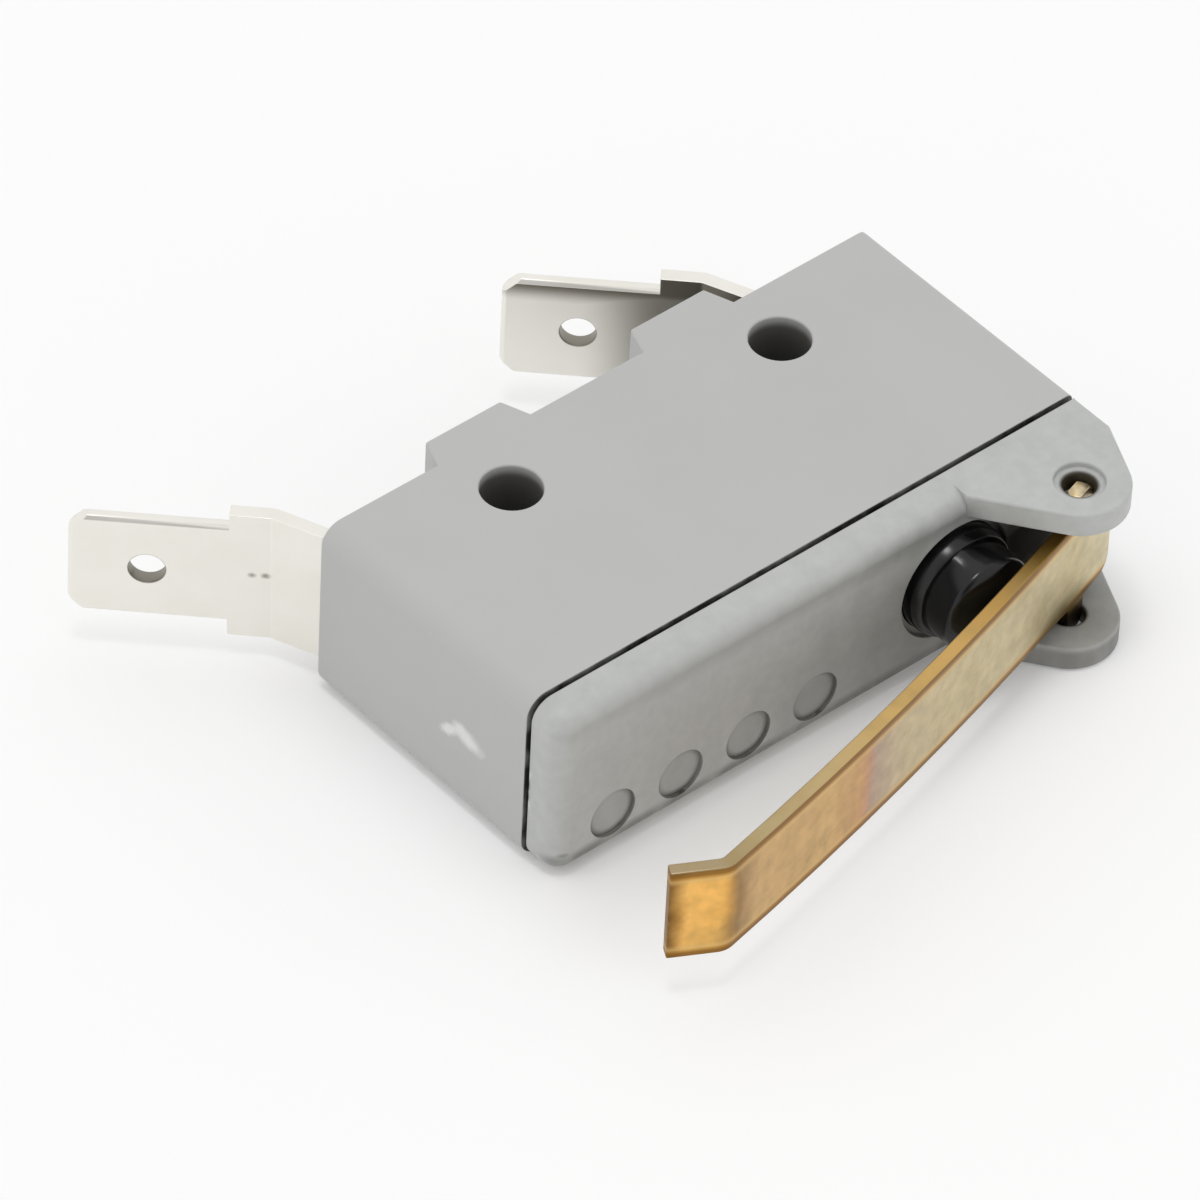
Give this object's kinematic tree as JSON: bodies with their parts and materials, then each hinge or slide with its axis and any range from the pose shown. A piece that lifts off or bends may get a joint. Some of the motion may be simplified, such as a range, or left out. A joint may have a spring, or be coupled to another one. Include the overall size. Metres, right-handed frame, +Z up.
{
  "type": "micro switch",
  "caption": "Snap-action micro switch: grey plastic case lying on its broad side, hinged brass lever over a black plunger, through holes for mounting and slanted tab terminals at the back.",
  "frame": {"origin": "midway between the two mounting holes, on the lower broad face", "axes": "+X along the case towards the lever pivot, +Y towards the terminals, +Z up through the mounting holes"},
  "size_m": [0.0427, 0.0387, 0.0106],
  "materials": {
    "housing_plastic": "satin moulded grey",
    "cover_plastic": "satin moulded grey",
    "plunger_plastic": "black, polished by use",
    "lever_brass": "stamped, patchy tarnish",
    "tinned_brass": "matt tin plate",
    "contact_silver": "silver, lightly domed edge",
    "arm_copper": "rolled copper alloy",
    "toggle_brass": "stamped",
    "spring_steel": "drawn wire"
  },
  "bodies": {
    "case": {"housing": "housing_plastic", "cover": "cover_plastic", "common_terminal": "tinned_brass", "contact_terminal": "tinned_brass", "fixed_contact": "contact_silver"},
    "lever": {"lever": "lever_brass"},
    "plunger": {"plunger": "plunger_plastic"},
    "toggle": {"toggle_lever": "toggle_brass"},
    "contact_arm": {"contact_arm": "arm_copper", "moving_contact": "contact_silver", "toggle_spring": "spring_steel"}
  },
  "joints": [
    {"name": "lever_pivot", "type": "hinge", "parent": "case", "child": "lever", "pos_m": [0.01353, -0.0168, 0.0053], "axis": [0, 0, -1], "range_deg": [0, 13], "stiffness_Nm_per_rad": 0.03, "springref_deg": -11.46},
    {"name": "plunger_slide", "type": "slide", "parent": "case", "child": "plunger", "axis": [0, 1, 0], "range_m": [0, 0.00115]},
    {"name": "toggle_pivot", "type": "hinge", "parent": "case", "child": "toggle", "pos_m": [0.01226, -0.0086, 0.0053], "axis": [0, 0, -1], "range_deg": [0, 14.8], "deforming": ["toggle_spring"]},
    {"name": "arm_pivot", "type": "hinge", "parent": "case", "child": "contact_arm", "pos_m": [0.01172, -0.0086, 0.0053], "axis": [0, 0, -1], "range_deg": [0, 2.2]}
  ],
  "couplings": [
    {"joint": "plunger_slide", "follows": "lever_pivot", "m_per_rad": 0.0049961},
    {"joint": "toggle_pivot", "follows": "lever_pivot", "ratio": 1.1385},
    {"joint": "arm_pivot", "follows": "lever_pivot", "ratio": 0.16923}
  ]
}
